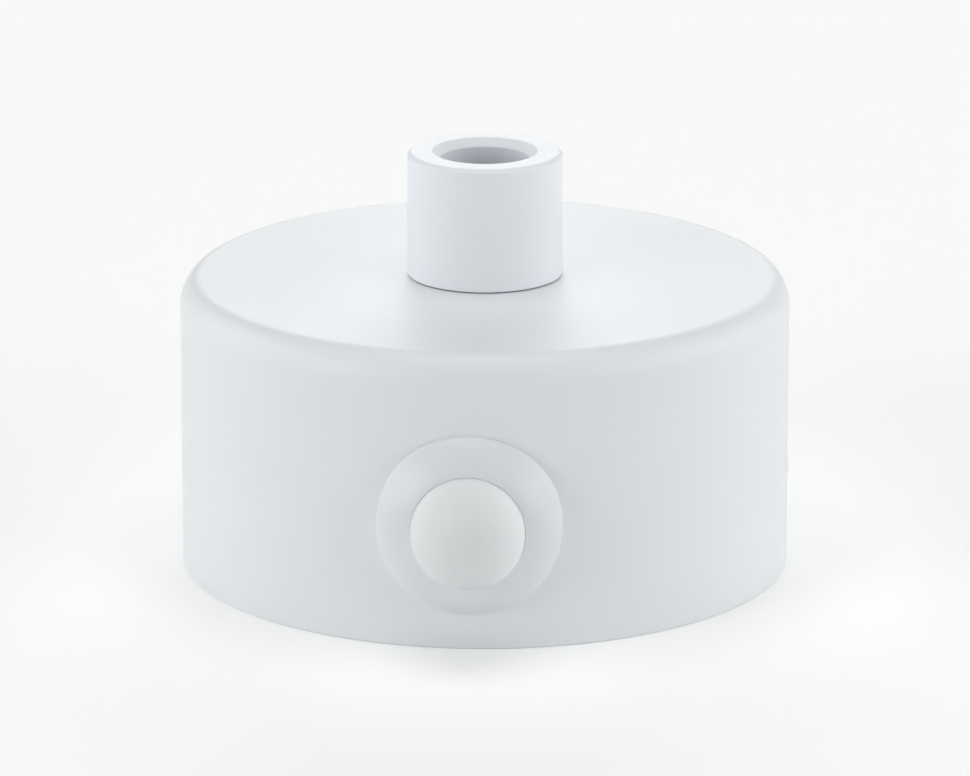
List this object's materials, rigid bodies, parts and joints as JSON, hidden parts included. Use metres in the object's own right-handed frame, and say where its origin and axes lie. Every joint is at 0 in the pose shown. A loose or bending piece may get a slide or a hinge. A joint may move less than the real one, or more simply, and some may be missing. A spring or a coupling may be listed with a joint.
{
  "type": "ceiling rose with push button",
  "caption": "Cylindrical white ceiling rose with a central outlet collar, a domed push button in a round bezel on its wall, a folded bracket and a terminal block inside.",
  "frame": {"origin": "centre of the ceiling plane, in the middle of the bracket's two slots", "axes": "+Z away from the ceiling along the outlet's axis, -Y out of the push button, X along the strap"},
  "size_m": [0.065, 0.0735, 0.0449],
  "materials": {
    "canopy_paint": "cool white powder coat, satin",
    "collar_paint": "cool white enamel, satin",
    "gasket_rubber": "dark grey rubber",
    "zinc_steel": "bright zinc plate",
    "bracket_zinc": "galvanised sheet",
    "screw_steel": "bright zinc plate",
    "terminal_brass": "bright brass",
    "blade_brass": "stamped brass",
    "bezel_plastic": "white moulding, satin",
    "button_plastic": "warm off-white moulding, satin",
    "spring_steel": "spring wire",
    "contact_silver": "silver contact",
    "base_plastic": "dark moulding",
    "nut_plastic": "black nylon",
    "block_nylon": "natural nylon",
    "clamp_steel": "zinc-plated screw"
  },
  "bodies": {
    "rose": {"canopy": "canopy_paint", "outlet_collar": "collar_paint", "collar_gasket": "gasket_rubber", "threaded_nipple": "zinc_steel", "lock_washer": "zinc_steel", "nipple_nut": "zinc_steel", "mounting_bracket": "bracket_zinc", "side_screws": "screw_steel", "earth_screw": "terminal_brass", "earth_washer": "terminal_brass", "switch_housing": "bezel_plastic", "return_spring": "spring_steel", "switch_terminals": "blade_brass", "fixed_contacts": "contact_silver", "switch_base": "base_plastic", "switch_nut": "nut_plastic", "terminal_block": "block_nylon", "terminal_sleeves": "terminal_brass", "terminal_screws": "clamp_steel"},
    "button": {"push_button": "button_plastic", "contact_bridge": "terminal_brass", "moving_contacts": "contact_silver"}
  },
  "joints": [
    {"name": "button_press", "type": "slide", "parent": "rose", "child": "button", "axis": [0, 1, 0], "range_m": [0, 0.003], "stiffness_N_per_m": 400, "deforming": ["return_spring"]}
  ]
}
